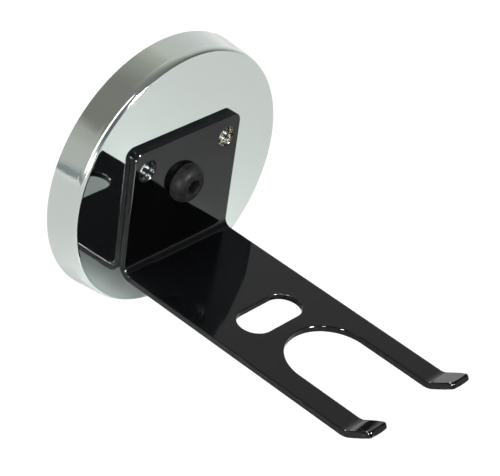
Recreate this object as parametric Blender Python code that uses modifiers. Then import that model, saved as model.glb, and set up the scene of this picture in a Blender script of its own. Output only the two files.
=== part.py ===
"""Magnetic hair dryer holder: a pot magnet with a bent steel fork bracket bolted to its face.

Frame, in metres: the origin is the centre of the magnet's rear face, which clamps to a
vertical steel surface in the plane y = 0. +Y points into that surface, -Y is forwards,
towards the user, and +Z is up. The bracket swivels about the Y axis.
"""

import math

import bpy
from mathutils import Matrix

MM = 0.001
GAP = 0.3 * MM                  # clearance left between pieces that touch

# pot magnet
CUP_RADIUS = 48.5 * MM           # at the front
CUP_REAR_RADIUS = 49.5 * MM      # the pressed wall flares slightly towards the rim
CUP_DEPTH = 12.5 * MM
CUP_FLOOR = 2.5 * MM            # thickness of the front plate of the cup
CUP_WALL = 3.0 * MM
CUP_EDGE = 1.3 * MM             # rounding of the front edge
CUP_RIM_CHAMFER = 0.4 * MM
FERRITE_RADIUS = 43.0 * MM
FERRITE_BORE = 16.0 * MM
FERRITE_CHAMFER = 0.7 * MM
BOND_LAYER = 0.4 * MM           # resin under the ferrite ring
BOND_SUNK = 0.5 * MM            # the resin stands this far below the rim
CUP_HOLE = 4.3 * MM

# bracket, one bent strip of sheet steel
SHEET = 2.5 * MM
BRACKET_WIDTH = 50.8 * MM
PLATE_TOP = 19.3 * MM           # height of the upright plate above the screw
ARM_TOP = -27.9 * MM            # upper face of the arm where it meets the magnet's face plane
ARM_DROOP = math.radians(1.5)   # the arm slopes down by this much as it goes forwards
ROOT_BEND = 3.0 * MM            # inside radius between plate and arm
PLATE_CORNER = 3.6 * MM
HOLE_RADIUS = 3.7 * MM          # the two spare fixing holes
HOLE_X = 19.1 * MM
HOLE_Z = 11.2 * MM
SCREW_HOLE = 4.3 * MM
SLOT_AT = 48.1 * MM             # slot centre, measured along the arm
SLOT_LENGTH = 27.3 * MM
SLOT_WIDTH = 13.2 * MM
FORK_AT = 76.5 * MM             # centre of the fork's round end, measured along the arm
FORK_RADIUS = 16.1 * MM
TIP_AT = 104.8 * MM             # where the prongs turn up, measured along the arm
TIP_LENGTH = 11.0 * MM
TIP_ANGLE = math.radians(33.0)
TIP_BEND = 5.0 * MM             # inside radius of that bend

# M8 fastening
HEAD_RADIUS = 7.0 * MM
HEAD_HEIGHT = 4.5 * MM
SHANK_RADIUS = 4.0 * MM
SOCKET_FLATS = 5.0 * MM
SOCKET_DEPTH = 2.9 * MM
WASHER_RADIUS = 8.0 * MM
WASHER_THICK = 1.6 * MM
LOCK_RADIUS = 7.3 * MM
LOCK_THICK = 2.0 * MM
NUT_FLATS = 13.0 * MM
NUT_THICK = 4.0 * MM
SHANK_END = 0.8 * MM            # the screw ends this far inside the rear face

PLATE_REAR = CUP_DEPTH + GAP
PLATE_FRONT = PLATE_REAR + SHEET
FLOOR_REAR = CUP_DEPTH - CUP_FLOOR

for old in list(bpy.data.objects):
    bpy.data.objects.remove(old, do_unlink=True)

parts = bpy.data.collections.new("hair_dryer_holder")
cutters = bpy.data.collections.new("cutters")
for group in (parts, cutters):
    bpy.context.scene.collection.children.link(group)

# local +Z becomes -Y: turned pieces are drawn standing on the magnet's rear face
FORWARDS = Matrix.Rotation(math.radians(90.0), 4, "X")


def material(name, colour, roughness, metallic):
    made = bpy.data.materials.new(name)
    made.use_nodes = True
    shader = made.node_tree.nodes["Principled BSDF"]
    shader.inputs["Base Color"].default_value = (*colour, 1.0)
    shader.inputs["Roughness"].default_value = roughness
    shader.inputs["Metallic"].default_value = metallic
    made.diffuse_color = (*colour, 1.0)
    return made


def add_object(name, mesh, group, finish=None):
    piece = bpy.data.objects.new(name, mesh)
    group.objects.link(piece)
    if finish is not None:
        mesh.materials.append(finish)
    if group is cutters:
        piece.hide_render = True
        piece.display_type = "WIRE"
    return piece


def arc(centre, radius, start, end, steps):
    """Points on an arc, angles in degrees, both ends included."""
    points = []
    for i in range(steps + 1):
        a = math.radians(start + (end - start) * i / steps)
        points.append((centre[0] + radius * math.cos(a), centre[1] + radius * math.sin(a)))
    return points


def turned(name, profile, steps, group, finish=None, closed=True):
    """A profile of (radius, height) turned about the object's Z axis."""
    mesh = bpy.data.meshes.new(name)
    verts = [(r, 0.0, h) for r, h in profile]
    edges = [(i, i + 1) for i in range(len(verts) - 1)]
    if closed:
        edges.append((len(verts) - 1, 0))
    mesh.from_pydata(verts, edges, [])
    piece = add_object(name, mesh, group, finish)
    screw = piece.modifiers.new("turn", "SCREW")
    screw.axis = "Z"
    screw.angle = math.radians(360.0)
    screw.steps = steps
    screw.render_steps = steps
    screw.use_merge_vertices = True
    screw.merge_threshold = 0.00001
    screw.use_smooth_shade = True
    piece.matrix_world = FORWARDS
    return piece


def prism(name, outline, half, frame, group, finish=None):
    """A flat outline of (x, y) points filled and extruded to both sides, then placed by frame."""
    curve = bpy.data.curves.new(name + "_outline", "CURVE")
    curve.dimensions = "2D"
    curve.fill_mode = "BOTH"
    curve.extrude = half
    line = curve.splines.new("POLY")
    line.points.add(len(outline) - 1)
    for point, (x, y) in zip(line.points, outline):
        point.co = (x, y, 0.0, 1.0)
    line.use_cyclic_u = True
    source = bpy.data.objects.new(name + "_outline", curve)
    group.objects.link(source)
    source.matrix_world = frame
    bpy.context.view_layer.update()
    graph = bpy.context.evaluated_depsgraph_get()
    mesh = bpy.data.meshes.new_from_object(source.evaluated_get(graph))
    mesh.name = name
    bm_weld(mesh)
    mesh.transform(frame)
    bpy.data.objects.remove(source, do_unlink=True)
    bpy.data.curves.remove(curve)
    mesh.materials.clear()
    return add_object(name, mesh, group, finish)


def bm_weld(mesh):
    import bmesh

    bm = bmesh.new()
    bm.from_mesh(mesh)
    bmesh.ops.remove_doubles(bm, verts=bm.verts, dist=0.000001)
    bmesh.ops.recalc_face_normals(bm, faces=bm.faces)
    bm.to_mesh(mesh)
    bm.free()


def drill(name, radius, x, z, depth_from, depth_to, segments=40):
    """A round cutter along Y, from one distance in front of the rear plane to another."""
    bpy.ops.mesh.primitive_cylinder_add(
        vertices=segments, radius=radius, depth=depth_to - depth_from,
        location=(x, -(depth_from + depth_to) / 2.0, z),
        rotation=(math.radians(90.0), 0.0, 0.0),
    )
    cutter = bpy.context.active_object
    cutter.name = name
    for group in list(cutter.users_collection):
        group.objects.unlink(cutter)
    cutters.objects.link(cutter)
    cutter.hide_render = True
    cutter.display_type = "WIRE"
    return cutter


def cut(piece, cutter, operation="DIFFERENCE"):
    step = piece.modifiers.new(cutter.name, "BOOLEAN")
    step.operation = operation
    step.solver = "EXACT"
    step.object = cutter
    return step


# ---------------------------------------------------------------- materials
chrome = material("chrome_plate", (0.62, 0.64, 0.63), 0.06, 1.0)
ferrite = material("ferrite_ceramic", (0.055, 0.055, 0.06), 0.55, 0.0)
resin = material("potting_resin", (0.16, 0.15, 0.13), 0.35, 0.0)
paint = material("gloss_black_paint", (0.012, 0.012, 0.013), 0.16, 0.0)
black_oxide = material("black_oxide_steel", (0.03, 0.03, 0.032), 0.42, 0.6)
zinc_washer = material("zinc_plated_washer", (0.55, 0.57, 0.6), 0.32, 1.0)
zinc_spring = material("zinc_plated_spring_steel", (0.45, 0.47, 0.5), 0.38, 1.0)
zinc_nut = material("zinc_plated_nut", (0.58, 0.6, 0.63), 0.3, 1.0)

# ---------------------------------------------------------------- pot magnet
inner = CUP_RADIUS - CUP_WALL
cup_profile = [(CUP_HOLE, CUP_DEPTH)]
cup_profile += arc((CUP_RADIUS - CUP_EDGE, CUP_DEPTH - CUP_EDGE), CUP_EDGE, 90.0, 0.0, 6)
cup_profile += [
    (CUP_REAR_RADIUS, CUP_RIM_CHAMFER),
    (CUP_REAR_RADIUS - CUP_RIM_CHAMFER, 0.0),
    (inner + CUP_RIM_CHAMFER, 0.0),
    (inner, CUP_RIM_CHAMFER),
    (inner, FLOOR_REAR),
    (CUP_HOLE, FLOOR_REAR),
]
magnet_cup = turned("magnet_cup", cup_profile, 96, parts, chrome)

ferrite_front = FLOOR_REAR - GAP - BOND_LAYER - GAP
c = FERRITE_CHAMFER
ferrite_profile = [
    (FERRITE_BORE + c, ferrite_front),
    (FERRITE_RADIUS - c, ferrite_front),
    (FERRITE_RADIUS, ferrite_front - c),
    (FERRITE_RADIUS, c),
    (FERRITE_RADIUS - c, 0.0),
    (FERRITE_BORE + c, 0.0),
    (FERRITE_BORE, c),
    (FERRITE_BORE, ferrite_front - c),
]
ferrite_ring = turned("ferrite_ring", ferrite_profile, 72, parts, ferrite)

bond_profile = [
    (FERRITE_BORE, FLOOR_REAR - GAP),
    (inner - GAP, FLOOR_REAR - GAP),
    (inner - GAP, BOND_SUNK),
    (FERRITE_RADIUS + GAP, BOND_SUNK),
    (FERRITE_RADIUS + GAP, FLOOR_REAR - GAP - BOND_LAYER),
    (FERRITE_BORE, FLOOR_REAR - GAP - BOND_LAYER),
]
resin_bond = turned("resin_bond", bond_profile, 72, parts, resin)

# ---------------------------------------------------------------- bracket
# side profile in (forward distance from the magnet's rear plane, height): the front and top
# side first, from the top of the plate to the end of the tip, then back along the rear and underside
turn = 90.0 - math.degrees(ARM_DROOP)          # angle the sheet turns at the root
arm_dir = (math.cos(ARM_DROOP), -math.sin(ARM_DROOP))
arm_up = (math.sin(ARM_DROOP), math.cos(ARM_DROOP))


def along_arm(s, n):
    """(forward, height) of a point s along the arm from the magnet's face and n above its upper face."""
    return (
        CUP_DEPTH + s * arm_dir[0] + n * arm_up[0],
        ARM_TOP + s * arm_dir[1] + n * arm_up[1],
    )


# centre of the root bend: ROOT_BEND in front of the plate and above the arm
root_forward = PLATE_FRONT + ROOT_BEND
root_s = (root_forward - CUP_DEPTH - ROOT_BEND * arm_up[0]) / arm_dir[0]
root = along_arm(root_s, ROOT_BEND)
tip_pull = TIP_BEND * math.tan(TIP_ANGLE / 2.0)
tip_centre = along_arm(TIP_AT - tip_pull, TIP_BEND)
tip_heading = TIP_ANGLE - ARM_DROOP
tip_dir = (math.cos(tip_heading), math.sin(tip_heading))
tip_up = (-math.sin(tip_heading), math.cos(tip_heading))
bend_point = along_arm(TIP_AT, 0.0)
tip_end = (bend_point[0] + TIP_LENGTH * tip_dir[0], bend_point[1] + TIP_LENGTH * tip_dir[1])
droop_deg = math.degrees(ARM_DROOP)
tip_deg = math.degrees(TIP_ANGLE)

profile = [(PLATE_FRONT, PLATE_TOP)]
profile += arc(root, ROOT_BEND, 180.0, 270.0 - droop_deg, 8)
profile += arc(tip_centre, TIP_BEND, 270.0 - droop_deg, 270.0 - droop_deg + tip_deg, 6)
profile += [tip_end, (tip_end[0] - SHEET * tip_up[0], tip_end[1] - SHEET * tip_up[1])]
profile += arc(tip_centre, TIP_BEND + SHEET, 270.0 - droop_deg + tip_deg, 270.0 - droop_deg, 6)
profile += arc(root, ROOT_BEND + SHEET, 270.0 - droop_deg, 180.0, 8)
profile += [(PLATE_REAR, PLATE_TOP)]

# outline plane to world: x (forward) to -Y, y (height) to +Z, extrusion to -X
SIDE = Matrix(((0, 0, -1, 0), (-1, 0, 0, 0), (0, 1, 0, 0), (0, 0, 0, 1)))
bracket = prism("bracket", profile, BRACKET_WIDTH / 2.0, SIDE, parts, paint)

# outline plane to world for cutters that pass through the plate: x to X, y to Z, extrusion to -Y
PLATE = Matrix(((1, 0, 0, 0), (0, 0, -1, -(PLATE_REAR + PLATE_FRONT) / 2.0), (0, 1, 0, 0), (0, 0, 0, 1)))
half_width = BRACKET_WIDTH / 2.0
for side, label in ((-1, "left"), (1, "right")):
    over = 3.0 * MM
    centre = (side * (half_width - PLATE_CORNER), PLATE_TOP - PLATE_CORNER)
    ends = (180.0, 90.0) if side < 0 else (0.0, 90.0)
    outline = arc(centre, PLATE_CORNER, ends[0], ends[1], 6)
    outline += [
        (centre[0], PLATE_TOP + over),
        (side * (half_width + over), PLATE_TOP + over),
        (side * (half_width + over), centre[1]),
    ]
    cut(bracket, prism(label + "_corner_cutter", outline, SHEET, PLATE, cutters))
    cut(bracket, drill(label + "_hole_cutter", HOLE_RADIUS, side * HOLE_X, HOLE_Z,
                       PLATE_REAR - SHEET, PLATE_FRONT + SHEET, 32))
cut(bracket, drill("screw_hole_cutter", SCREW_HOLE, 0.0, 0.0,
                   PLATE_REAR - SHEET, PLATE_FRONT + SHEET, 32))

# outline plane to world for cutters that pass through the arm: x to X, y along the arm, extrusion square to it
start = along_arm(0.0, -SHEET / 2.0)
ARM = Matrix((
    (1, 0, 0, 0),
    (0, -arm_dir[0], arm_up[0], -start[0]),
    (0, arm_dir[1], -arm_up[1], start[1]),
    (0, 0, 0, 1),
))
r = SLOT_WIDTH / 2.0
h = SLOT_LENGTH / 2.0 - r
slot_outline = arc((h, SLOT_AT), r, -90.0, 90.0, 16) + arc((-h, SLOT_AT), r, 90.0, 270.0, 16)
cut(bracket, prism("slot_cutter", slot_outline, 2.0 * SHEET, ARM, cutters))
fork_outline = arc((0.0, FORK_AT), FORK_RADIUS, 180.0, 360.0, 32)
fork_outline += [(FORK_RADIUS, FORK_AT + 60.0 * MM), (-FORK_RADIUS, FORK_AT + 60.0 * MM)]
cut(bracket, prism("fork_cutter", fork_outline, 20.0 * MM, ARM, cutters))

# ---------------------------------------------------------------- fastening
head_base = PLATE_FRONT + GAP
head_top = head_base + HEAD_HEIGHT
shoulder = 0.35 * MM
flat = SOCKET_FLATS * 0.72                      # radius of the flat on top of the dome
# the dome is one arc from the shoulder's edge up to the flat
a0, a1 = (HEAD_RADIUS, head_base + shoulder), (flat, head_top)
dome = []
for i in range(9):
    w = math.radians(90.0) * i / 8
    dome.append((
        a1[0] + (a0[0] - a1[0]) * math.sin(w),
        a0[1] + (a1[1] - a0[1]) * math.cos(w),
    ))
screw_profile = [(0.0, head_top)] + dome
screw_profile += [
    (HEAD_RADIUS, head_base),
    (SHANK_RADIUS, head_base),
    (SHANK_RADIUS, SHANK_END + 0.7 * MM),
    (SHANK_RADIUS - 0.7 * MM, SHANK_END),
    (0.0, SHANK_END),
]
button_head_screw = turned("button_head_screw", screw_profile, 48, parts, black_oxide, closed=False)
bpy.ops.mesh.primitive_cylinder_add(
    vertices=6, radius=SOCKET_FLATS / math.sqrt(3.0), depth=2.0 * SOCKET_DEPTH,
    location=(0.0, -head_top, 0.0), rotation=(math.radians(90.0), 0.0, 0.0),
)
socket_cutter = bpy.context.active_object
socket_cutter.name = "socket_cutter"
for group in list(socket_cutter.users_collection):
    group.objects.unlink(socket_cutter)
cutters.objects.link(socket_cutter)
socket_cutter.hide_render = True
socket_cutter.display_type = "WIRE"
cut(button_head_screw, socket_cutter)


def ring(name, bore, radius, front, rear, chamfer, finish, steps=48):
    outline = [
        (bore, front),
        (radius - chamfer, front),
        (radius, front - chamfer),
        (radius, rear + chamfer),
        (radius - chamfer, rear),
        (bore, rear),
    ]
    return turned(name, outline, steps, parts, finish)


washer_front = FLOOR_REAR - GAP
flat_washer = ring("flat_washer", SHANK_RADIUS + GAP, WASHER_RADIUS, washer_front,
                   washer_front - WASHER_THICK, 0.2 * MM, zinc_washer)

lock_front = washer_front - WASHER_THICK - GAP
lock_washer = ring("lock_washer", SHANK_RADIUS + GAP, LOCK_RADIUS, lock_front,
                   lock_front - LOCK_THICK, 0.15 * MM, zinc_spring)
# the split: a thin slanted blade through one side of the ring
bpy.ops.mesh.primitive_cube_add(size=1.0)
split_cutter = bpy.context.active_object
split_cutter.name = "split_cutter"
split_cutter.data.transform(Matrix.Diagonal((0.9 * MM, 6.0 * MM, 8.0 * MM, 1.0)))
split_cutter.matrix_world = (
    Matrix.Translation((0.0, -(lock_front - LOCK_THICK / 2.0), (SHANK_RADIUS + LOCK_RADIUS) / 2.0))
    @ Matrix.Rotation(math.radians(35.0), 4, "Z")
)
for group in list(split_cutter.users_collection):
    group.objects.unlink(split_cutter)
cutters.objects.link(split_cutter)
split_cutter.hide_render = True
split_cutter.display_type = "WIRE"
cut(lock_washer, split_cutter)

nut_front = lock_front - LOCK_THICK - GAP
nut_rear = nut_front - NUT_THICK
bpy.ops.mesh.primitive_cylinder_add(
    vertices=6, radius=NUT_FLATS / math.sqrt(3.0), depth=NUT_THICK,
    location=(0.0, -(nut_front + nut_rear) / 2.0, 0.0), rotation=(math.radians(90.0), 0.0, 0.0),
)
hex_nut = bpy.context.active_object
hex_nut.name = "hex_nut"
hex_nut.data.name = "hex_nut"
for group in list(hex_nut.users_collection):
    group.objects.unlink(hex_nut)
parts.objects.link(hex_nut)
hex_nut.data.materials.append(zinc_nut)
# both faces are chamfered by a turned body with sloping shoulders
corner = NUT_FLATS / math.sqrt(3.0)
crown = [
    (0.0, nut_front + 0.5 * MM),
    (NUT_FLATS / 2.0 - 0.4 * MM, nut_front + 0.23 * MM),
    (corner + 0.6 * MM, nut_front - 0.75 * MM),
    (corner + 0.6 * MM, nut_rear + 0.75 * MM),
    (NUT_FLATS / 2.0 - 0.4 * MM, nut_rear - 0.23 * MM),
    (0.0, nut_rear - 0.5 * MM),
]
cut(hex_nut, turned("nut_crown_cutter", crown, 48, cutters, closed=False), "INTERSECT")
cut(hex_nut, drill("nut_bore_cutter", SHANK_RADIUS + GAP, 0.0, 0.0,
                   nut_rear - 2.0 * MM, nut_front + 2.0 * MM, 32))
hex_nut.data.shade_flat()

bpy.context.view_layer.update()
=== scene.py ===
import math

import bmesh
import bpy
import numpy as np
from mathutils import Matrix, Vector
from mathutils.geometry import delaunay_2d_cdt


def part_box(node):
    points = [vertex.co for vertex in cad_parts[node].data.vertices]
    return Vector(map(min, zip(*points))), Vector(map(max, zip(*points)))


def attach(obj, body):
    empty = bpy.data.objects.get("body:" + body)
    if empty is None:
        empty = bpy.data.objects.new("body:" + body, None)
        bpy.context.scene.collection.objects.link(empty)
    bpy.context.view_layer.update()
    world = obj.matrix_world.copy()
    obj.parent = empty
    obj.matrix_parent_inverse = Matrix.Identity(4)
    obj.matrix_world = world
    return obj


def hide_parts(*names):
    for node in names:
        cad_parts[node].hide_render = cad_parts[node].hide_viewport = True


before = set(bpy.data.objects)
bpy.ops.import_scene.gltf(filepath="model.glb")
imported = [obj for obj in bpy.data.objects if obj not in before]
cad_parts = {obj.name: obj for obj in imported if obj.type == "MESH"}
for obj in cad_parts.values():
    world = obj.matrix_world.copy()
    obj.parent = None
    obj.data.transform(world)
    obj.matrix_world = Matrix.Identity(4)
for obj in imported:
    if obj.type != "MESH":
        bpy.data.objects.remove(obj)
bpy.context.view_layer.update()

MM = 0.001
scene = bpy.context.scene

# --------------------------------------------------------------------------- sizes, in mm
cup_lo, cup_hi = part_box("magnet_cup")
CUP_DEPTH = -cup_lo.y / MM                       # front face of the magnet
CUP_REAR_R = cup_hi.x / MM
CUP_R = CUP_REAR_R - 1.0
CUP_EDGE, CUP_EDGE_DEEP = 1.25, 3.2                # the front edge is drawn: short across the face, long down the wall
CUP_FLOOR = 2.5
CUP_INNER = 45.5
CUP_HOLE = 4.3
FERRITE_R, FERRITE_BORE = 43.0, 16.0

SHEET = 2.5
HALF_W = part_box("bracket")[1].x / MM
PLATE_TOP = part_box("bracket")[1].z / MM
ARM_TOP = -27.9
DROOP = math.radians(1.5)
ROOT_R = 3.0
PLATE_CORNER = 3.6
HOLE_R, HOLE_X, HOLE_Z = 3.7, 19.1, 11.2
SCREW_HOLE = 4.3
SLOT_AT, SLOT_LEN, SLOT_W = 48.1, 27.3, 13.2
FORK_AT, FORK_R = 76.5, 16.1
TIP_R = 5.0
PRONGS = {-1: (103.5, 10.9, math.radians(32.5)), 1: (104.7, 11.0, math.radians(33.0))}    # each prong was bent by hand
TWIST = 0.6                                       # the right prong's end hangs this much lower than the left one's
TIP_CORNER = 1.5
PAINT_EDGE = 0.35                                # rounding of the painted edges
TIP_EDGE = 0.85                                   # the coat is thicker round the prongs' end corners

PLATE_REAR = CUP_DEPTH + 0.02
PLATE_FRONT = PLATE_REAR + SHEET


# --------------------------------------------------------------------------- mesh helpers
def finish_mesh(name, verts, faces, corner_normals, material, body, node):
    """A mesh whose shading normals are the surface's own, one per face corner; faces are wound to agree with them."""
    spots = np.array([tuple(v) for v in verts])
    wound_faces, wound_normals = [], []
    for face, normals in zip(faces, corner_normals):
        a, b, c = spots[face[0]], spots[face[1]], spots[face[2]]
        mean = np.sum([np.array(n) for n in normals], axis=0)
        if np.cross(b - a, c - a) @ mean < 0.0:
            face, normals = face[::-1], normals[::-1]
        wound_faces.append(face)
        wound_normals.append(normals)
    faces, corner_normals = wound_faces, wound_normals
    mesh = bpy.data.meshes.new(name)
    mesh.from_pydata([tuple(v) for v in verts], [], faces)
    mesh.polygons.foreach_set("use_smooth", [True] * len(mesh.polygons))
    mesh.update()
    flat = [n for face in corner_normals for n in face]
    mesh.normals_split_custom_set([tuple(n) for n in flat])
    mesh.materials.append(material)
    piece = bpy.data.objects.new(name, mesh)
    scene.collection.objects.link(piece)
    place(piece, body, node)
    return piece


def place(piece, body, node):
    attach(piece, body)
    if node:
        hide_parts(*([node] if isinstance(node, str) else node))


def line(a, b, steps=1):
    """Profile segment from a to b as (radius, height, normal radius, normal height); the solid lies on the right."""
    a, b = np.array(a, float), np.array(b, float)
    d = (b - a) / np.linalg.norm(b - a)
    n = (-d[1], d[0])
    return [(*(a + (b - a) * i / steps), *n) for i in range(steps + 1)]


def bow(centre, radius, start, end, steps, hollow=False):
    """Profile arc in degrees. The normal points away from the centre, or to it if hollow."""
    out = []
    for i in range(steps + 1):
        t = math.radians(start + (end - start) * i / steps)
        c, s = math.cos(t), math.sin(t)
        k = -1.0 if hollow else 1.0
        out.append((centre[0] + radius * c, centre[1] + radius * s, k * c, k * s))
    return out


def lathe(name, segments, turns, material, body, node, closed=True, warp=None):
    """Turns profile segments, each a list of (r, h, nr, nh), about the Y axis; h is the distance in front of the rear face."""
    ring_of, points, spans = {}, [], []
    for segment in segments:
        ids = []
        for r, h, nr, nh in segment:
            key = (round(r, 5), round(h, 5))
            if key not in ring_of:
                ring_of[key] = len(points)
                points.append((r, h))
            ids.append(ring_of[key])
        spans.append(ids)
    verts, index = [], []
    for r, h in points:
        if r < 1e-6:
            index.append([len(verts)] * turns)
            verts.append((0.0, -h * MM, 0.0))
            continue
        row = []
        for k in range(turns):
            a = 2.0 * math.pi * k / turns
            rr, hh = (r, h) if warp is None else warp(r, h, a)
            row.append(len(verts))
            verts.append((rr * MM * math.cos(a), -hh * MM, rr * MM * math.sin(a)))
        index.append(row)
    faces, normals = [], []
    for segment, ids in zip(segments, spans):
        for i in range(len(ids) - 1):
            (_, _, nr0, nh0), (_, _, nr1, nh1) = segment[i], segment[i + 1]
            for k in range(turns):
                a0, a1 = 2.0 * math.pi * k / turns, 2.0 * math.pi * (k + 1) / turns
                j = (k + 1) % turns
                quad = [(index[ids[i]][k], nr0, nh0, a0), (index[ids[i]][j], nr0, nh0, a1),
                        (index[ids[i + 1]][j], nr1, nh1, a1), (index[ids[i + 1]][k], nr1, nh1, a0)]
                seen, corner = [], []
                for v, nr, nh, a in quad:
                    if v in seen:
                        continue
                    seen.append(v)
                    corner.append(Vector((nr * math.cos(a), -nh, nr * math.sin(a))).normalized())
                if len(seen) < 3:
                    continue
                faces.append(seen)
                normals.append(corner)
    return finish_mesh(name, verts, faces, normals, material, body, node)


# --------------------------------------------------------------------------- material helpers
class Nodes:
    """A short way to write a node material."""

    def __init__(self, name, **values):
        self.material = bpy.data.materials.new(name)
        self.material.use_nodes = True
        self.tree = self.material.node_tree
        self.shader = self.tree.nodes["Principled BSDF"]
        for key, value in values.items():
            self.shader.inputs[key.replace("_", " ")].default_value = value
        self.coords = self.tree.nodes.new("ShaderNodeTexCoord").outputs["Object"]

    def add(self, kind, *links, **settings):
        node = self.tree.nodes.new(kind)
        for key, value in settings.items():
            if hasattr(node, key):
                setattr(node, key, value)
            else:
                node.inputs[key.replace("_", " ")].default_value = value
        for socket, source in links:
            self.tree.links.new(source, node.inputs[socket])
        return node

    def noise(self, scale, detail=2.0, roughness=0.5, source=None, distortion=0.0):
        node = self.add("ShaderNodeTexNoise", ("Vector", source or self.coords))
        node.inputs["Scale"].default_value = scale
        node.inputs["Detail"].default_value = detail
        node.inputs["Roughness"].default_value = roughness
        node.inputs["Distortion"].default_value = distortion
        return node.outputs["Fac"]

    def stretch(self, x, y, z):
        node = self.add("ShaderNodeMapping", ("Vector", self.coords))
        node.inputs["Scale"].default_value = (x, y, z)
        return node.outputs["Vector"]

    def span(self, source, low, high, to_low, to_high):
        node = self.add("ShaderNodeMapRange", ("Value", source))
        node.clamp = True
        node.inputs["From Min"].default_value = low
        node.inputs["From Max"].default_value = high
        node.inputs["To Min"].default_value = to_low
        node.inputs["To Max"].default_value = to_high
        return node.outputs["Result"]

    def math(self, operation, a, b=None):
        node = self.add("ShaderNodeMath")
        node.operation = operation
        for i, value in enumerate((a, b)):
            if value is None:
                continue
            if isinstance(value, (int, float)):
                node.inputs[i].default_value = value
            else:
                self.tree.links.new(value, node.inputs[i])
        return node.outputs[0]

    def blend(self, factor, first, second):
        node = self.add("ShaderNodeMix")
        node.data_type = "RGBA"
        self.tree.links.new(factor, node.inputs[0])
        for i, value in ((6, first), (7, second)):
            if isinstance(value, tuple):
                node.inputs[i].default_value = (*value, 1.0)
            else:
                self.tree.links.new(value, node.inputs[i])
        return node.outputs[2]

    def radius(self):
        """Distance from the screw's axis, in metres."""
        split = self.add("ShaderNodeSeparateXYZ", ("Vector", self.coords))
        x2 = self.math("MULTIPLY", split.outputs[0], split.outputs[0])
        z2 = self.math("MULTIPLY", split.outputs[2], split.outputs[2])
        return self.math("SQRT", self.math("ADD", x2, z2)), split.outputs[1]

    def bump(self, height, strength, distance):
        node = self.add("ShaderNodeBump", ("Height", height))
        node.inputs["Strength"].default_value = strength
        node.inputs["Distance"].default_value = distance
        previous = self.shader.inputs["Normal"]
        if previous.is_linked:
            self.tree.links.new(previous.links[0].from_socket, node.inputs["Normal"])
            self.tree.links.remove(previous.links[0])
        self.tree.links.new(node.outputs["Normal"], previous)

    def to(self, socket, source):
        self.tree.links.new(source, self.shader.inputs[socket])


# --------------------------------------------------------------------------- materials
def chrome_material():
    m = Nodes("chrome_plate", Metallic=1.0, Roughness=0.04)
    r, y = m.radius()
    # polished flat face; the pressed wall behind the rounded edge is a little rougher
    wall = m.span(r, 0.0468, 0.0482, 0.0, 1.0)
    haze = m.noise(55.0, 3.0, 0.55)
    smear = m.noise(16.0, 2.0, 0.5, distortion=0.6)
    face_rough = m.span(smear, 0.35, 0.75, 0.018, 0.045)
    wall_rough = m.span(haze, 0.3, 0.7, 0.06, 0.11)
    mix = m.add("ShaderNodeMix")
    m.tree.links.new(wall, mix.inputs[0])
    m.tree.links.new(face_rough, mix.inputs[2])
    m.tree.links.new(wall_rough, mix.inputs[3])
    m.to("Roughness", mix.outputs[0])
    tone = m.blend(m.span(m.noise(9.0, 2.0), 0.3, 0.7, 0.0, 1.0), (0.572, 0.612, 0.586), (0.590, 0.630, 0.603))
    m.to("Base Color", tone)
    # drawing marks in the rounded edge and the wall: fine ripples that run round the cup
    ripple = m.math("MULTIPLY", m.noise(650.0, 2.0, 0.6), wall)
    m.bump(ripple, 0.35, 0.00005)
    waves = m.math("MULTIPLY", m.noise(70.0, 1.5, 0.5), wall)
    m.bump(waves, 0.7, 0.00030)
    return m.material


def paint_material():
    m = Nodes("gloss_black_paint", Roughness=0.05, IOR=1.31)
    tone = m.blend(m.span(m.noise(30.0, 3.0), 0.35, 0.7, 0.0, 1.0), (0.0016, 0.0017, 0.0020), (0.0026, 0.0026, 0.0028))
    # orange peel of a sprayed coat
    m.bump(m.noise(420.0, 1.5, 0.45), 0.12, 0.00004)
    m.bump(m.noise(95.0, 1.0, 0.4), 0.30, 0.00012)
    # the coat gathers in lumps inside the two punched holes of the plate
    split = m.add("ShaderNodeSeparateXYZ", ("Vector", m.coords))
    dx = m.math("SUBTRACT", m.math("ABSOLUTE", split.outputs[0]), HOLE_X * MM)
    dz = m.math("SUBTRACT", split.outputs[2], HOLE_Z * MM)
    away = m.math("SQRT", m.math("ADD", m.math("MULTIPLY", dx, dx), m.math("MULTIPLY", dz, dz)))
    inside_hole = m.span(away, (HOLE_R - 0.02) * MM, (HOLE_R + 0.12) * MM, 1.0, 0.0)
    m.bump(m.math("MULTIPLY", m.noise(1300.0, 2.0, 0.6), inside_hole), 1.0, 0.00010)
    # warm brown spots in the wall of the right hole only
    right_hole = m.math("MULTIPLY", inside_hole, m.span(split.outputs[0], 0.0, 0.001, 0.0, 1.0))
    warm_spots = m.math("MULTIPLY", right_hole, m.span(m.noise(900.0, 2.0, 0.6), 0.50, 0.58, 0.0, 1.0))
    m.to("Base Color", m.blend(warm_spots, tone, (0.260, 0.195, 0.130)))
    gloss = m.span(m.noise(120.0, 3.0, 0.6), 0.3, 0.75, 0.035, 0.075)
    m.to("Roughness", m.math("ADD", gloss, m.math("MULTIPLY", inside_hole, 0.16)))
    return m.material


def floor_paint(name, tone):
    """Matt pale paper."""
    m = Nodes(name, Roughness=1.0, Specular_IOR_Level=0.0)
    m.shader.inputs["Base Color"].default_value = (tone, tone, tone, 1.0)
    return m.material


def oxide_material():
    m = Nodes("black_oxide_steel", Metallic=0.0, Roughness=0.45, IOR=1.45, Specular_IOR_Level=0.018)
    tone = m.blend(m.span(m.noise(320.0, 4.0, 0.6), 0.3, 0.7, 0.0, 1.0), (0.009, 0.0092, 0.0094), (0.031, 0.0305, 0.030))
    m.to("Base Color", tone)
    m.to("Roughness", m.span(m.noise(500.0, 3.0, 0.6), 0.3, 0.7, 0.38, 0.55))
    m.bump(m.noise(1100.0, 3.0, 0.6), 0.5, 0.00010)
    return m.material


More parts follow.
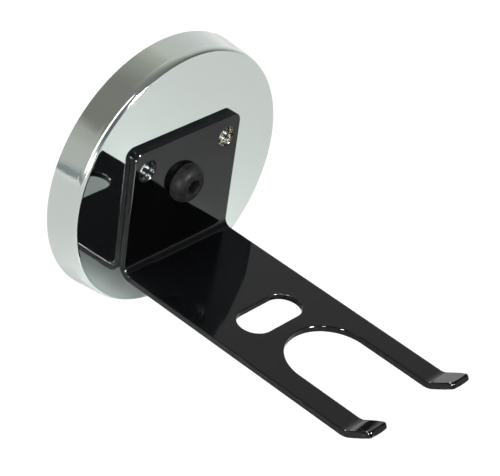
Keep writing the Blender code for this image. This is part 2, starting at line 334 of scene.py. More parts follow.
def ferrite_material():
    m = Nodes("ferrite_ceramic", Roughness=0.5, IOR=1.6)
    grain = m.noise(900.0, 4.0, 0.65)
    tone = m.blend(m.span(grain, 0.3, 0.7, 0.0, 1.0), (0.030, 0.030, 0.033), (0.070, 0.070, 0.074))
    m.to("Base Color", tone)
    marks = m.noise(60.0, 4.0, 0.7, source=m.stretch(30.0, 1.0, 0.6))
    m.to("Roughness", m.span(marks, 0.3, 0.7, 0.36, 0.58))
    m.bump(marks, 0.2, 0.00003)
    pits = m.span(m.noise(420.0, 2.0, 0.5), 0.22, 0.34, 0.0, 1.0)
    m.bump(pits, 0.35, 0.00008)
    return m.material


def resin_material():
    m = Nodes("potting_resin", Roughness=0.3, IOR=1.55)
    tone = m.blend(m.span(m.noise(140.0, 3.0, 0.6), 0.3, 0.7, 0.0, 1.0), (0.085, 0.080, 0.068), (0.150, 0.140, 0.118))
    m.to("Base Color", tone)
    m.to("Roughness", m.span(m.noise(90.0, 2.0), 0.3, 0.7, 0.22, 0.42))
    m.bump(m.noise(260.0, 2.0), 0.3, 0.0001)
    return m.material


def zinc_material(name, low, high, rough):
    m = Nodes(name, Metallic=1.0, Roughness=rough)
    tone = m.blend(m.span(m.noise(260.0, 4.0, 0.6), 0.3, 0.7, 0.0, 1.0), low, high)
    m.to("Base Color", tone)
    m.to("Roughness", m.span(m.noise(700.0, 3.0, 0.6), 0.3, 0.7, rough - 0.08, rough + 0.08))
    m.bump(m.noise(1500.0, 2.0, 0.5), 0.2, 0.00003)
    return m.material


chrome = chrome_material()
paint = paint_material()
oxide = oxide_material()
ferrite = ferrite_material()
resin = resin_material()
zinc = zinc_material("zinc_plate", (0.50, 0.53, 0.57), (0.62, 0.64, 0.66), 0.27)
spring_zinc = zinc_material("zinc_spring_steel", (0.38, 0.40, 0.43), (0.50, 0.52, 0.54), 0.36)

# --------------------------------------------------------------------------- magnet cup
e, deep = CUP_EDGE, CUP_EDGE_DEEP
top, floor_h = CUP_DEPTH, CUP_DEPTH - CUP_FLOOR
wall_top = (CUP_R, top - deep)
lip = 0.2
edge_curve = []
for i in range(33):
    t = math.pi / 2.0 * (1.0 - i / 32)
    edge_curve.append((CUP_R - e + e * math.cos(t), top - deep + deep * math.sin(t), math.cos(t) / e, math.sin(t) / deep))
cup_segments = [
    bow((CUP_HOLE + 0.3, top - 0.3), 0.3, 180.0, 90.0, 4),
    line((CUP_HOLE + 0.3, top), (CUP_R - e, top), 12),
    edge_curve,
    line(wall_top, (CUP_REAR_R, lip), 6),
    bow((CUP_REAR_R - lip, lip), lip, 0.0, -90.0, 6),
    line((CUP_REAR_R - lip, 0.0), (CUP_INNER + lip, 0.0), 2),
    bow((CUP_INNER + lip, lip), lip, 270.0, 180.0, 6),
    line((CUP_INNER, lip), (CUP_INNER, floor_h), 2),
    line((CUP_INNER, floor_h), (CUP_HOLE, floor_h), 4),
    line((CUP_HOLE, floor_h), (CUP_HOLE, top - 0.3), 1),
]
lathe("magnet_cup_shell", cup_segments, 288, chrome, "magnet", "magnet_cup")

# --------------------------------------------------------------------------- ferrite ring
GAP = 0.3
front = floor_h - GAP - 0.4 - GAP
c = 0.7


def chipped(r, h, a):
    """Small irregularities along the ground edges of the brittle ring."""
    if h < 1.0 and (r > FERRITE_R - 1.0 or r < FERRITE_BORE + 1.0):
        k = math.sin(17.0 * a + 1.3) * math.sin(41.0 * a) * math.sin(7.0 * a + 0.4)
        return r, max(0.0, h + 0.10 * k * (1.0 if h > 0.05 else 0.0))
    return r, h


ring_segments = [
    line((FERRITE_BORE + c, front), (FERRITE_R - c, front), 3),
    line((FERRITE_R - c, front), (FERRITE_R, front - c), 1),
    line((FERRITE_R, front - c), (FERRITE_R, c), 2),
    line((FERRITE_R, c), (FERRITE_R - c, 0.0), 2),
    line((FERRITE_R - c, 0.0), (FERRITE_BORE + c, 0.0), 8),
    line((FERRITE_BORE + c, 0.0), (FERRITE_BORE, c), 2),
    line((FERRITE_BORE, c), (FERRITE_BORE, front - c), 2),
    line((FERRITE_BORE, front - c), (FERRITE_BORE + c, front), 1),
]
lathe("ferrite_ring_magnet", ring_segments, 216, ferrite, "magnet", "ferrite_ring", warp=chipped)

# --------------------------------------------------------------------------- resin
wall_out, wall_in = CUP_INNER - GAP, FERRITE_R + GAP
sunk = 0.5
dip = []
for i in range(13):                              # the cast surface sags between the two walls
    t = i / 12
    x = wall_out + (wall_in - wall_out) * t
    h = sunk + 0.22 * math.sin(math.pi * t) ** 0.7
    dip.append((x, h))
dip_segment = []
for i, (x, h) in enumerate(dip):
    p, q = dip[max(i - 1, 0)], dip[min(i + 1, 12)]
    d = np.array((q[0] - p[0], q[1] - p[1]))
    d /= np.linalg.norm(d)
    dip_segment.append((x, h, -d[1], d[0]))


def uneven(r, h, a):
    if h < 1.0:
        return r, h + 0.06 * math.sin(5.0 * a + 0.7) + 0.04 * math.sin(13.0 * a) + 0.04
    return r, h


bond_segments = [
    line((FERRITE_BORE, floor_h - GAP), (wall_out, floor_h - GAP), 2),
    line((wall_out, floor_h - GAP), (wall_out, sunk), 2),
    dip_segment,
    line((wall_in, sunk), (wall_in, floor_h - GAP - 0.4), 2),
    line((wall_in, floor_h - GAP - 0.4), (FERRITE_BORE, floor_h - GAP - 0.4), 2),
    line((FERRITE_BORE, floor_h - GAP - 0.4), (FERRITE_BORE, floor_h - GAP), 1),
]
lathe("resin_bond_ring", bond_segments, 180, resin, "magnet", "resin_bond", warp=uneven)

# --------------------------------------------------------------------------- bracket
arm_dir = np.array((math.cos(DROOP), -math.sin(DROOP)))
arm_up = np.array((math.sin(DROOP), math.cos(DROOP)))
arm_zero = np.array((CUP_DEPTH, ARM_TOP))


def arm_point(s, n=0.0):
    return arm_zero + s * arm_dir + n * arm_up


root_s = (PLATE_FRONT + ROOT_R - CUP_DEPTH - ROOT_R * arm_up[0]) / arm_dir[0]
root = arm_point(root_s, ROOT_R)
P1 = PLATE_TOP - root[1]                          # end of the plate, as a length along the front face
A1 = math.pi / 2.0 - DROOP
P2 = P1 + ROOT_R * A1                             # start of the arm


class Prong:
    """The turned-up end of one prong, by length along the top face."""

    def __init__(self, at, length, turn):
        pull = TIP_R * math.tan(turn / 2.0)
        self.turn = turn
        self.centre = arm_point(at - pull, TIP_R)
        self.bend = P2 + (at - pull - root_s)     # start of the bend
        self.flat = self.bend + TIP_R * turn      # start of the tip
        self.end = self.flat + length - pull
        self.rows = [self.bend + (self.flat - self.bend) * i / 10 for i in range(11)]


prongs = {side: Prong(*sizes) for side, sizes in PRONGS.items()}


def along(s):
    """Length along the front and top face of a point s along the arm."""
    return P2 + (s - root_s)


def sheet_frame(p, side):
    """(point, direction of increasing p, normal of the front or top face) in (forward, height)."""
    prong = prongs[side]
    if p <= P1:
        return np.array((PLATE_FRONT, PLATE_TOP - p)), np.array((0.0, -1.0)), np.array((1.0, 0.0))
    if p <= P2:
        a = math.pi + (p - P1) / ROOT_R
        v = np.array((math.cos(a), math.sin(a)))
        return root + ROOT_R * v, np.array((-v[1], v[0])), -v
    if p <= prong.bend:
        return arm_point(root_s + p - P2), arm_dir, arm_up
    a0 = 1.5 * math.pi - DROOP
    if p <= prong.flat:
        a = a0 + (p - prong.bend) / TIP_R
        v = np.array((math.cos(a), math.sin(a)))
        return prong.centre + TIP_R * v, np.array((-v[1], v[0])), -v
    a = a0 + prong.turn
    v = np.array((math.cos(a), math.sin(a)))
    d = np.array((-v[1], v[0]))
    return prong.centre + TIP_R * v + (p - prong.flat) * d, d, -v


ROOT_ROWS = [P1 + (P2 - P1) * i / 18 for i in range(19)]


def straight(a, b, normal, step=2.5):
    """Outline points from a towards b, without b, with the bend rows among them."""
    a, b = np.array(a, float), np.array(b, float)
    length = np.linalg.norm(b - a)
    stops = {round(i / max(1, round(length / step)), 9) for i in range(max(1, round(length / step)))}
    if abs(b[1] - a[1]) > 1e-6 and abs(b[0] - a[0]) < 1e-6:
        for row in ROOT_ROWS + prongs[1 if a[0] > 0.0 else -1].rows:
            t = (row - a[1]) / (b[1] - a[1])
            if 0.0 <= t < 1.0:
                stops = {s for s in stops if abs(s - t) * length > 0.12 or s == 0.0 and t == 0.0}
                stops.add(t)
    return [((a + (b - a) * t), normal) for t in sorted(stops)]


def rounded(centre, radius, start, end, steps, hollow=False):
    """Outline points on an arc, without the last; angles in degrees; x to the right, p downwards."""
    out = []
    for i in range(steps):
        t = math.radians(start + (end - start) * i / steps)
        v = np.array((math.cos(t), math.sin(t)))
        out.append((np.array(centre) + radius * v, -v if hollow else v))
    return out


w, k = HALF_W, PLATE_CORNER
tc = TIP_CORNER
pf = along(FORK_AT)
outer = []
outer += straight((-w + k, 0.0), (w - k, 0.0), (0.0, -1.0))
outer += rounded((w - k, k), k, -90.0, 0.0, 14)
er, el = prongs[1].end, prongs[-1].end
outer += straight((w, k), (w, er - tc), (1.0, 0.0))
outer += rounded((w - tc, er - tc), tc, 0.0, 90.0, 10)
outer += straight((w - tc, er), (FORK_R + tc, er), (0.0, 1.0))
outer += rounded((FORK_R + tc, er - tc), tc, 90.0, 180.0, 10)
outer += straight((FORK_R, er - tc), (FORK_R, pf), (-1.0, 0.0))
outer += rounded((0.0, pf), FORK_R, 0.0, -180.0, 80, hollow=True)
outer += straight((-FORK_R, pf), (-FORK_R, el - tc), (1.0, 0.0))
outer += rounded((-FORK_R - tc, el - tc), tc, 0.0, 90.0, 10)
outer += straight((-FORK_R - tc, el), (-w + tc, el), (0.0, 1.0))
outer += rounded((-w + tc, el - tc), tc, 90.0, 180.0, 10)
outer += straight((-w, el - tc), (-w, k), (-1.0, 0.0))
outer += rounded((-w + k, k), k, 180.0, 270.0, 14)


def hole(x, p, radius, steps):
    return rounded((x, p), radius, 360.0, 0.0, steps, hollow=True)


ps = along(SLOT_AT)
sr, sh = SLOT_W / 2.0, SLOT_LEN / 2.0 - SLOT_W / 2.0
slot = rounded((sh, ps), sr, 90.0, -90.0, 40, hollow=True)
slot += straight((sh, ps - sr), (-sh, ps - sr), (0.0, 1.0))
slot += rounded((-sh, ps), sr, -90.0, -270.0, 40, hollow=True)
slot += straight((-sh, ps + sr), (sh, ps + sr), (0.0, -1.0))
loops = [
    outer,
    hole(-HOLE_X, PLATE_TOP - HOLE_Z, HOLE_R, 56),
    hole(HOLE_X, PLATE_TOP - HOLE_Z, HOLE_R, 56),
    hole(0.0, PLATE_TOP, SCREW_HOLE, 56),
    slot,
]


def inside(point, polygon):
    x, y = point
    found = False
    j = len(polygon) - 1
    for i in range(len(polygon)):
        xi, yi = polygon[i]
        xj, yj = polygon[j]
        if (yi > y) != (yj > y) and x < (xj - xi) * (y - yi) / (yj - yi) + xi:
            found = not found
        j = i
    return found


def edge_radius(q):
    """Rounding of the edge at an outline point."""
    nearest = min(math.hypot(q[0] - side * x, q[1] - prong.end) for side, prong in prongs.items() for x in (FORK_R, w))
    t = min(1.0, max(0.0, 1.0 - (nearest - TIP_CORNER) / 3.0))
    return PAINT_EDGE + (TIP_EDGE - PAINT_EDGE) * t * t * (3.0 - 2.0 * t)


def build_bracket():
    steps = 6
    ring_shape = []                               # (outward share, face share, side of the sheet)
    for i in range(steps + 1):
        t = math.pi / 2.0 * i / steps
        ring_shape.append((math.sin(t), math.cos(t), 1.0))
    for i in range(steps + 1):
        t = math.pi / 2.0 * (steps - i) / steps
        ring_shape.append((math.sin(t), -math.cos(t), -1.0))
    verts, vnormals, faces, normals = [], [], [], []
    insets = []                                   # per loop: (flat points, top ids, bottom ids)
    for loop in loops:
        rings = []
        for out, up, side_of in ring_shape:
            ring = []
            for q, m in loop:
                m = np.array(m, float)
                radius = edge_radius(q)
                depth = radius * (1.0 - abs(up))
                if side_of < 0.0:
                    depth = SHEET - depth
                at = q - radius * (1.0 - out) * m
                base, forward, face = sheet_frame(at[1], 1 if at[0] > 0.0 else -1)
                spot = base - depth * face
                spot = spot - np.array((0.0, TWIST * max(0.0, at[1] - P2) / 110.0 * (at[0] / HALF_W + 1.0) / 2.0))
                ring.append(len(verts))
                verts.append((at[0] * MM, -spot[0] * MM, spot[1] * MM))
                n2 = out * m[1] * forward + up * face
                vnormals.append(Vector((out * m[0], -n2[0], n2[1])).normalized())
            rings.append(ring)
        count = len(loop)
        for a, b in zip(rings[:-1], rings[1:]):
            for i in range(count):
                j = (i + 1) % count
                faces.append([a[i], a[j], b[j], b[i]])
        flat = [tuple(q - edge_radius(q) * np.array(m, float)) for q, m in loop]
        insets.append((flat, rings[0], rings[-1]))
    coords, edges, top_ids, bottom_ids = [], [], [], []
    for flat, top_ring, bottom_ring in insets:
        base = len(coords)
        coords += [Vector(q) for q in flat]
        edges += [(base + i, base + (i + 1) % len(flat)) for i in range(len(flat))]
        top_ids += top_ring
        bottom_ids += bottom_ring
    # rows across the bends keep the bent surfaces truly cylindrical
    outer_flat = insets[0][0]
    for row in ROOT_ROWS:
        on_row = sorted((q[0], i) for i, q in enumerate(outer_flat) if abs(q[1] - row) < 1e-4)
        edges.append((on_row[0][1], on_row[-1][1]))
    for side, prong in prongs.items():
        for row in prong.rows:
            on_row = sorted((q[0], i) for i, q in enumerate(outer_flat) if abs(q[1] - row) < 1e-4 and q[0] * side > 0.0)
            edges.append((on_row[0][1], on_row[-1][1]))
    out_v, _, out_f, orig_v, _, _ = delaunay_2d_cdt(coords, edges, [], 0, 1e-7)
    polygons = [p[0] for p in insets]
    back = [o[0] if o else None for o in orig_v]
    if any(b is None for b in back):
        raise RuntimeError("the outline crosses itself")
    for tri in out_f:
        cx = sum(out_v[i][0] for i in tri) / 3.0
        cy = sum(out_v[i][1] for i in tri) / 3.0
        if not inside((cx, cy), polygons[0]) or any(inside((cx, cy), h) for h in polygons[1:]):
            continue
        ids = [back[i] for i in tri]
        area = sum(coords[ids[i]][0] * coords[ids[(i + 1) % 3]][1] - coords[ids[(i + 1) % 3]][0] * coords[ids[i]][1] for i in range(3))
        if area < 0.0:
            ids.reverse()
        # x to the right and p downwards: this order faces backwards, so the top takes it reversed
        faces.append([top_ids[i] for i in reversed(ids)])
        faces.append([bottom_ids[i] for i in ids])
    normals = [[vnormals[i] for i in f] for f in faces]
    return verts, faces, normals


bv, bf, bn = build_bracket()
finish_mesh("bracket_painted", bv, bf, bn, paint, "bracket", "bracket")

# --------------------------------------------------------------------------- screw
head_base = PLATE_FRONT + 0.05
head_h = 4.75
head_top = head_base + head_h
R_HEAD, R_FLAT = 7.25, 3.5
FLATS, SOCKET = 5.0, 3.4


def hexagon(a, flats):
    """Distance from the axis to a hexagon's side, in direction a."""
    b = (a + math.pi / 6.0) % (math.pi / 3.0) - math.pi / 6.0
    return flats / 2.0 / math.cos(b)


def build_screw():
    turns = 96
    rows = []                                     # (function of angle -> radius, height), smooth groups split by None
    def circle(r):
        return lambda a: r
    dome_rows = [[(circle(R_HEAD - 0.12), head_base), (circle(R_HEAD), head_base + 0.12), (circle(R_HEAD), head_base + 0.45)]]
    curve = []
    for i in range(17):
        t = math.pi / 2.0 * i / 16
        curve.append((circle(R_FLAT + (R_HEAD - R_FLAT) * math.cos(t) ** 0.92), head_base + 0.45 + (head_h - 0.45) * math.sin(t) ** 1.0))
    dome_rows.append(curve)
    mouth = 0.18
    dome_rows.append([(circle(R_FLAT), head_top), (lambda a: hexagon(a, FLATS) + mouth, head_top)])
    dome_rows.append([(lambda a: hexagon(a, FLATS) + mouth, head_top), (lambda a: hexagon(a, FLATS), head_top - mouth)])
    dome_rows.append([(lambda a: hexagon(a, FLATS), head_top - mouth), (lambda a: hexagon(a, FLATS), head_top - SOCKET)])
    dome_rows.append([(lambda a: hexagon(a, FLATS), head_top - SOCKET), (circle(1.6), head_top - SOCKET - 0.25), (circle(0.0), head_top - SOCKET - 0.7)])
    return turns, dome_rows


def ring_loft(name, groups, turns, extra, material, body, node, angle=30.0, start=0.0):
    """Joins groups of rings, each ring a (radius function, height), into one closed surface about the Y axis."""
    bm = bmesh.new()
    cache = {}

    def ring(fn, h):
        key = (round(fn(0.1), 6), round(fn(0.3), 6), round(h, 6))
        if key not in cache:
            if fn(0.0) < 1e-9:
                v = bm.verts.new((0.0, -h * MM, 0.0))
                cache[key] = [v] * turns
            else:
                row = []
                for j in range(turns):
                    a = start + 2.0 * math.pi * j / turns
                    r = fn(a - start)
                    row.append(bm.verts.new((r * MM * math.cos(a), -h * MM, r * MM * math.sin(a))))
                cache[key] = row
        return cache[key]

    for group in groups:
        rows = [ring(fn, h) for fn, h in group]
        for a, b in zip(rows[:-1], rows[1:]):
            for j in range(turns):
                n = (j + 1) % turns
                quad = []
                for v in (a[j], b[j], b[n], a[n]):
                    if v not in quad:
                        quad.append(v)
                if len(quad) >= 3:
                    bm.faces.new(quad)
    if extra:
        extra(bm, cache)
    bmesh.ops.recalc_face_normals(bm, faces=bm.faces)
    mesh = bpy.data.meshes.new(name)
    bm.to_mesh(mesh)
    bm.free()
    mesh.shade_smooth()
    mesh.set_sharp_from_angle(angle=math.radians(angle))
    mesh.materials.append(material)
    piece = bpy.data.objects.new(name, mesh)
    scene.collection.objects.link(piece)
    place(piece, body, node)
    return piece


def thread_radius(h, a, crest, depth, pitch):
    """Radius of a right-hand thread's surface at height h and angle a."""
    t = ((h / pitch) - a / (2.0 * math.pi)) % 1.0
    ramp = min(t, 1.0 - t) * 2.0                  # 0 at the root, 1 at the crest
    return crest - depth + depth * min(1.0, max(0.0, (ramp - 0.12) / 0.72))


turns, head_groups = build_screw()
SHANK_END = 0.8
CREST, DEPTH, PITCH = 3.98, 0.68, 1.25


def shank_fn(h):
    fade = min(1.0, max(0.0, (h - SHANK_END) / 0.9))          # the end is chamfered
    relief = min(1.0, max(0.0, (head_base - 1.0 - h) / 1.2))   # the thread runs out under the head
    def fn(a):
        r = thread_radius(h, a, CREST, DEPTH * relief, PITCH)
        return min(r, CREST - 0.75 * (1.0 - fade))
    return fn


heights = []
h = head_base
while h > SHANK_END + 1e-6:
    heights.append(h)
    h -= PITCH / 14.0
heights.append(SHANK_END)
shank_rows = [(shank_fn(h), h) for h in heights]
under = [(lambda a: R_HEAD - 0.12, head_base), shank_rows[0]]
end_rows = [shank_rows[-1], (lambda a: 1.2, SHANK_END + 0.05), (lambda a: 0.0, SHANK_END + 0.05)]
ring_loft("socket_button_screw", head_groups + [under, shank_rows, end_rows], turns, None,
          oxide, "magnet", "button_head_screw", angle=28.0, start=math.radians(12.0))

# --------------------------------------------------------------------------- washers and nut
WT, LT, NT = 1.6, 2.0, 4.0
cad_wf = floor_h - GAP
wr = 0.25
bore = 4.25
washer_segments = [
    bow((bore + 0.12, cad_wf - 0.12), 0.12, 180.0, 90.0, 3),
    line((bore + 0.12, cad_wf), (8.0 - wr, cad_wf), 2),
    bow((8.0 - wr, cad_wf - wr), wr, 90.0, 0.0, 6),
    line((8.0, cad_wf - wr), (8.0, cad_wf - WT + 0.08), 1),
    line((8.0, cad_wf - WT + 0.08), (7.92, cad_wf - WT), 1),
    line((7.92, cad_wf - WT), (bore + 0.12, cad_wf - WT), 2),
    bow((bore + 0.12, cad_wf - WT + 0.12), 0.12, 270.0, 180.0, 3),
    line((bore, cad_wf - WT + 0.12), (bore, cad_wf - 0.12), 1),
]
lathe("flat_washer_m8", washer_segments, 144, zinc, "magnet", "flat_washer")


def build_lock_washer():
    """A square section swept just short of a full turn, one end a little higher than the other."""
    bm = bmesh.new()
    lf = cad_wf - WT - GAP
    inner_r, outer_r, thick, rise, r = 4.35, 7.25, 1.7, 0.26, 0.14
    section = []
    for cx, cy, a0 in ((outer_r - r, thick / 2 - r, 0.0), (inner_r + r, thick / 2 - r, 90.0),
                       (inner_r + r, -thick / 2 + r, 180.0), (outer_r - r, -thick / 2 + r, 270.0)):
        for i in range(4):
            t = math.radians(a0 + 30.0 * i)
            section.append((cx + r * math.cos(t), cy + r * math.sin(t)))
    steps, gap = 120, math.radians(9.0)
    start = math.pi / 2.0 + gap / 2.0
    rows = []
    for i in range(steps + 1):
        t = i / steps
        a = start + (2.0 * math.pi - gap) * t
        row = []
        for x, y in section:
            slant = (x - (inner_r + outer_r) / 2) * 0.0 + y * 0.55 / 5.8 * (-1.0 if t in (0.0, 1.0) else 0.0)
            aa = a + slant
            hh = lf - LT / 2.0 + y + rise * (t - 0.5)
            row.append(bm.verts.new((x * MM * math.cos(aa), -hh * MM, x * MM * math.sin(aa))))
        rows.append(row)
    n = len(section)
    for a, b in zip(rows[:-1], rows[1:]):
        for i in range(n):
            j = (i + 1) % n
            bm.faces.new((a[i], a[j], b[j], b[i]))
    bm.faces.new(rows[0])
    bm.faces.new(list(reversed(rows[-1])))
    bmesh.ops.recalc_face_normals(bm, faces=bm.faces)
    if bm.calc_volume(signed=True) < 0.0:
        bmesh.ops.reverse_faces(bm, faces=bm.faces)
    mesh = bpy.data.meshes.new("lock_washer_m8")
    bm.to_mesh(mesh)
    bm.free()
    mesh.shade_smooth()
    mesh.set_sharp_from_angle(angle=math.radians(40.0))
    mesh.materials.append(spring_zinc)
    piece = bpy.data.objects.new("lock_washer_m8", mesh)
    scene.collection.objects.link(piece)
    place(piece, "magnet", "lock_washer")


build_lock_washer()

nf = cad_wf - WT - GAP - LT - GAP
nr = nf - NT
NUT_FLATS = 13.0


def crown(r, edge):
    """How far the nut's face falls away outside its bearing circle."""
    return max(0.0, (r - (NUT_FLATS / 2.0 - 0.25)) * math.tan(math.radians(28.0))) * edge


def build_nut():
    """Hexagon with domed corners on both faces and a threaded bore."""
    turns, bm = 144, bmesh.new()
    flats = NUT_FLATS
    rows = []

    def row(fn_r, fn_h):
        out = []
        for j in range(turns):
            a = 2.0 * math.pi * j / turns
            r = fn_r(a)
            out.append(bm.verts.new((r * MM * math.cos(a), -fn_h(a, r) * MM, r * MM * math.sin(a))))
        rows.append(out)

    side = lambda a: hexagon(a, flats)
    circle = lambda q: (lambda a: q)
    # front face out from the bore, down the sides, back along the rear face, then up the bore
    row(circle(4.45), lambda a, r: nf)
    row(circle(flats / 2.0 - 0.25), lambda a, r: nf)
    for i in range(1, 6):
        row(lambda a, i=i: (flats / 2.0 - 0.25) + (side(a) - (flats / 2.0 - 0.25)) * i / 5, lambda a, r: nf - crown(r, 1.0))
    for i in range(1, 8):
        row(side, lambda a, r, i=i: (nf - crown(r, 1.0)) + ((nr + crown(r, 1.0)) - (nf - crown(r, 1.0))) * i / 8)
    for i in range(5, 0, -1):
        row(lambda a, i=i: (flats / 2.0 - 0.25) + (side(a) - (flats / 2.0 - 0.25)) * i / 5, lambda a, r: nr + crown(r, 1.0))
    row(circle(flats / 2.0 - 0.25), lambda a, r: nr)
    row(circle(4.45), lambda a, r: nr)
    depth = 0.45
    levels = int(NT / (PITCH / 12.0))
    for i in range(1, levels):
        hh = nr + NT * i / levels
        row(lambda a, hh=hh: max(4.10, 4.45 - depth + depth * (1.0 - min(((hh / PITCH) - a / (2 * math.pi)) % 1.0, 1.0 - ((hh / PITCH) - a / (2 * math.pi)) % 1.0) * 2.0)), lambda a, r, hh=hh: hh)
    count = len(rows)
    for i in range(count):
        a, b = rows[i], rows[(i + 1) % count]
        for j in range(turns):
            n = (j + 1) % turns
            bm.faces.new((a[j], a[n], b[n], b[j]))
    bmesh.ops.recalc_face_normals(bm, faces=bm.faces)
    mesh = bpy.data.meshes.new("hex_nut_m8")
    bm.to_mesh(mesh)
    bm.free()
    mesh.shade_smooth()
    mesh.set_sharp_from_angle(angle=math.radians(24.0))
    mesh.materials.append(zinc)
    piece = bpy.data.objects.new("hex_nut_m8", mesh)
    scene.collection.objects.link(piece)
    place(piece, "magnet", "hex_nut")


build_nut()

# --------------------------------------------------------------------------- camera
right = Vector((0.6771783, -0.72451, 0.12851))
up = Vector((0.3388114, 0.4620506, 0.8195829))
back = Vector((-0.6531741, -0.5114631, 0.5583629))
camera_data = bpy.data.cameras.new("camera")
camera = bpy.data.objects.new("camera", camera_data)
scene.collection.objects.link(camera)
camera.matrix_world = Matrix((
    (right.x, up.x, back.x, -0.4018465),
    (right.y, up.y, back.y, -0.3618088),
    (right.z, up.z, back.z, 0.3378024),
    (0.0, 0.0, 0.0, 1.0),
))
camera_data.sensor_width = 36.0
camera_data.lens = 1830.69 * 36.0 / 500.0
camera_data.clip_start = 0.05
camera_data.clip_end = 60.0
scene.camera = camera

# --------------------------------------------------------------------------- floor
FLOOR_Z = -0.9
bm = bmesh.new()
bmesh.ops.create_grid(bm, x_segments=8, y_segments=8, size=14.0)
floor_mesh = bpy.data.meshes.new("studio_floor")
bm.to_mesh(floor_mesh)
bm.free()
floor = bpy.data.objects.new("studio_floor", floor_mesh)
floor.location = (0.0, 0.0, FLOOR_Z)
scene.collection.objects.link(floor)
floor_material = floor_paint("studio_floor", 0.95)
floor_mesh.materials.append(floor_material)

# the table top just under the object, which only its reflections show
bm = bmesh.new()
bmesh.ops.create_circle(bm, cap_ends=True, cap_tris=True, segments=96, radius=1.6)
table_mesh = bpy.data.meshes.new("studio_table")
bm.to_mesh(table_mesh)
bm.free()
table = bpy.data.objects.new("studio_table", table_mesh)
# the magnet's lower edge and the prongs' ends both come close to it, so it is tilted to the holder
TABLE_SLOPE = math.atan2(0.0138, 0.0995)
table.rotation_euler = (-TABLE_SLOPE, 0.0, 0.0)
table.location = (0.0, -0.0125, -0.0508)
table.visible_camera = False
table.visible_diffuse = False
table.visible_shadow = False
scene.collection.objects.link(table)
table_mesh.materials.append(floor_paint("studio_table", 0.78))

# --------------------------------------------------------------------------- light


def softbox(name, direction, distance, width, height, radiance, colour):
    """A rectangular lamp that looks at the object and has this radiance."""
    data = bpy.data.lights.new(name, "AREA")
    data.shape = "RECTANGLE"
    data.size, data.size_y = width, height
    data.energy = radiance * math.pi * width * height
    data.color = colour
    lamp = bpy.data.objects.new(name, data)
    d = Vector(direction).normalized()
    lamp.location = d * distance + Vector((0.0, -0.03, 0.0))
    lamp.rotation_mode = "QUATERNION"
    lamp.rotation_quaternion = d.to_track_quat("Z", "Y")
    scene.collection.objects.link(lamp)
    return lamp


for lamp in (
    softbox("softbox_left", (-0.88, -0.42, 0.20), 4.0, 0.6, 0.6, 1000.0, (0.92, 0.96, 1.0)),
    softbox("softbox_front", (0.08, -0.90, 0.43), 4.0, 0.6, 0.6, 1600.0, (0.92, 0.96, 1.0)),
    softbox("softbox_high", (-0.18, -0.62, 0.76), 4.0, 0.32, 0.32, 750.0, (0.90, 0.95, 1.0)),
    softbox("softbox_strip", (-0.77, 0.09, 0.64), 4.2, 0.9, 5.6, 3.4, (1.0, 0.99, 0.97)),
):
    lamp.visible_diffuse = False

fill = bpy.data.lights.new("overhead_fill", "SUN")
fill.energy = 2.75
fill.angle = math.radians(50.0)
fill_object = bpy.data.objects.new("overhead_fill", fill)
fill_object.rotation_mode = "QUATERNION"
fill_object.rotation_quaternion = Vector((-0.42, -0.22, 0.88)).to_track_quat("Z", "Y")
fill_object.visible_glossy = False
scene.collection.objects.link(fill_object)

# surroundings: bright low walls, a darker ceiling
world = bpy.data.worlds.new("studio")
scene.world = world
world.use_nodes = True
tree = world.node_tree
tree.nodes.clear()
output = tree.nodes.new("ShaderNodeOutputWorld")
coords = tree.nodes.new("ShaderNodeTexCoord")
split = tree.nodes.new("ShaderNodeSeparateXYZ")
tree.links.new(coords.outputs["Generated"], split.inputs[0])


def world_math(operation, a, b=None, clamp=False):
    node = tree.nodes.new("ShaderNodeMath")
    node.operation = operation
    node.use_clamp = clamp
    for i, value in enumerate((a, b)):
        if value is None:
            continue
        if isinstance(value, (int, float)):
            node.inputs[i].default_value = value
        else:
            tree.links.new(value, node.inputs[i])
    return node.outputs[0]


def ramp(source, stops):
    node = tree.nodes.new("ShaderNodeValToRGB")
    tree.links.new(source, node.inputs[0])
    node.color_ramp.interpolation = "EASE"
    while len(node.color_ramp.elements) > 1:
        node.color_ramp.elements.remove(node.color_ramp.elements[-1])
    for i, (position, colour) in enumerate(stops):
        stop = node.color_ramp.elements[0] if i == 0 else node.color_ramp.elements.new(position)
        stop.position = position
        stop.color = (*colour, 1.0)
    return node.outputs[0]


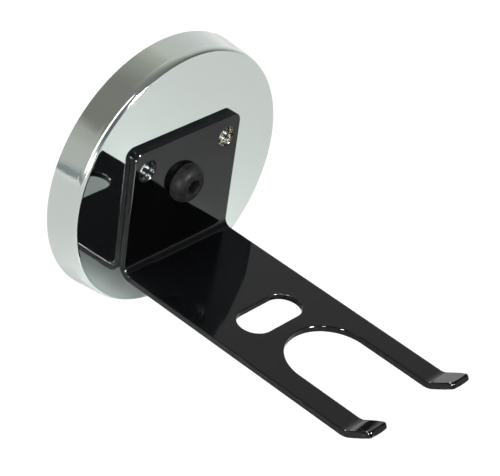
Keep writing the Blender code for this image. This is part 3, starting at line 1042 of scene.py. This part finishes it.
def mixed(factor, a, b):
    node = tree.nodes.new("ShaderNodeMix")
    node.data_type = "RGBA"
    tree.links.new(factor, node.inputs[0])
    tree.links.new(a, node.inputs[6])
    tree.links.new(b, node.inputs[7])
    return node.outputs[2]


height = split.outputs[2]
right_wall = ramp(height, [(0.0, (1.0, 1.0, 1.0)), (0.22, (0.90, 0.91, 0.92)), (0.46, (0.82, 0.82, 0.82)),
                           (0.64, (0.76, 0.77, 0.75)), (0.76, (0.74, 0.75, 0.71)), (0.84, (0.56, 0.57, 0.51)), (1.0, (0.34, 0.34, 0.31))])
left_wall = ramp(height, [(0.0, (0.32, 0.36, 0.37)), (0.035, (0.60, 0.61, 0.60)), (0.10, (0.67, 0.67, 0.66)), (0.30, (0.66, 0.67, 0.64)),
                          (0.47, (0.56, 0.57, 0.53)), (0.62, (0.28, 0.28, 0.25)), (0.84, (0.29, 0.29, 0.27))])
side_share = world_math("ADD", world_math("MULTIPLY", split.outputs[0], 2.0), 0.38, clamp=True)
behind = mixed(side_share, left_wall, right_wall)
ahead = ramp(height, [(0.0, (0.60, 0.61, 0.62)), (0.25, (0.30, 0.31, 0.33)), (0.55, (0.15, 0.16, 0.18)), (1.0, (0.25, 0.25, 0.25))])
back_share = world_math("ADD", world_math("MULTIPLY", split.outputs[1], 1.5), 0.5, clamp=True)
surround = mixed(back_share, ahead, behind)
lit = tree.nodes.new("ShaderNodeBackground")
tree.links.new(surround, lit.inputs[0])
lit.inputs[1].default_value = 1.0
plain = tree.nodes.new("ShaderNodeBackground")
plain.inputs[0].default_value = (1.0, 1.0, 1.0, 1.0)
paths = tree.nodes.new("ShaderNodeLightPath")
choose = tree.nodes.new("ShaderNodeMixShader")
tree.links.new(paths.outputs["Is Camera Ray"], choose.inputs[0])
tree.links.new(lit.outputs[0], choose.inputs[1])
tree.links.new(plain.outputs[0], choose.inputs[2])
tree.links.new(choose.outputs[0], output.inputs[0])

scene.view_settings.view_transform = "Standard"
scene.view_settings.look = "None"
